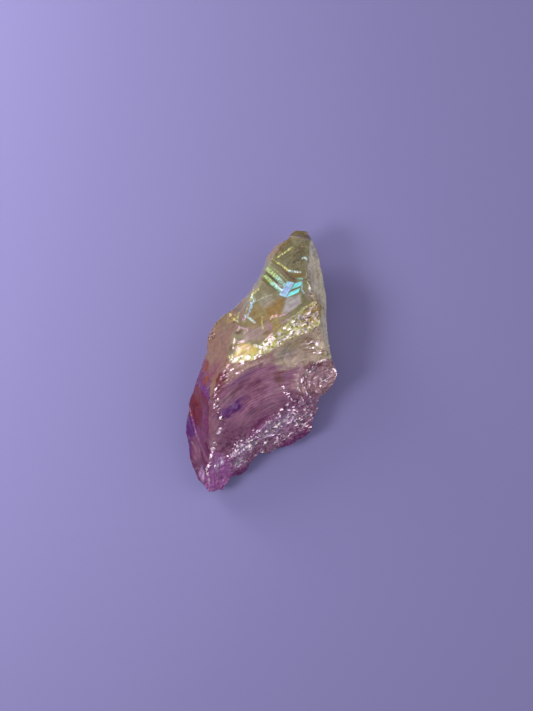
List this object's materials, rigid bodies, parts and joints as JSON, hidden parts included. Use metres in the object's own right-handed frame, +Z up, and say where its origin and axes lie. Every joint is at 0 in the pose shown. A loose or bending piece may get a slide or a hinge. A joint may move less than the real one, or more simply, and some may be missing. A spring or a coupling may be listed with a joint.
{
  "type": "aura quartz",
  "caption": "Raw broken quartz crystal point with a vapour coat, gold at the tip and purple at the root, lying on its flat break.",
  "frame": {"origin": "middle of the stone's box, on the plane that it rests on", "axes": "+Y along the stone towards the crystal's tip, +Z up, away from the flat break"},
  "size_m": [0.0266, 0.0556, 0.0155],
  "materials": {
    "aura_quartz": "glassy coated crystal, frosted where broken"
  },
  "bodies": {
    "root": {"crystal": "aura_quartz"}
  },
  "joints": []
}
